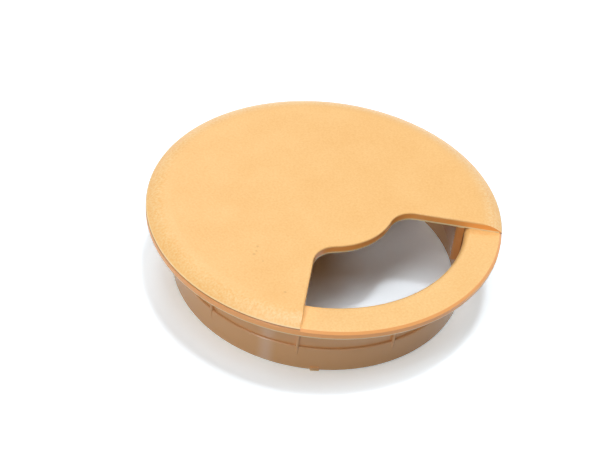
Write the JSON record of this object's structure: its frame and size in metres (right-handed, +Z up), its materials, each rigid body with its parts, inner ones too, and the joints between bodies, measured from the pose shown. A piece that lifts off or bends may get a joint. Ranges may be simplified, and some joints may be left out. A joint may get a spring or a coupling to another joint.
{
  "type": "desk cable grommet",
  "caption": "Round beech-coloured plastic grommet for a desk hole: a flanged liner with crush ribs, and a turning cap with a quarter cut-out that lets cables through.",
  "frame": {"origin": "centre of the tube's lower rim, on the surface that the grommet stands on", "axes": "+Z up along the tube and the cap's turning axis, -Y through the middle of the cable cut-out"},
  "size_m": [0.07, 0.07, 0.0173],
  "materials": {
    "liner_plastic": "injection moulded, fine matt grain, coloured through",
    "cap_plastic": "injection moulded, fine matt grain, coloured through"
  },
  "bodies": {
    "liner": {"liner": "liner_plastic"},
    "cap": {"cap": "cap_plastic"}
  },
  "joints": [
    {"name": "cap_turn", "type": "hinge", "parent": "liner", "child": "cap", "pos_m": [0, 0, 0.0156], "axis": [0, 0, 1], "continuous": true}
  ]
}
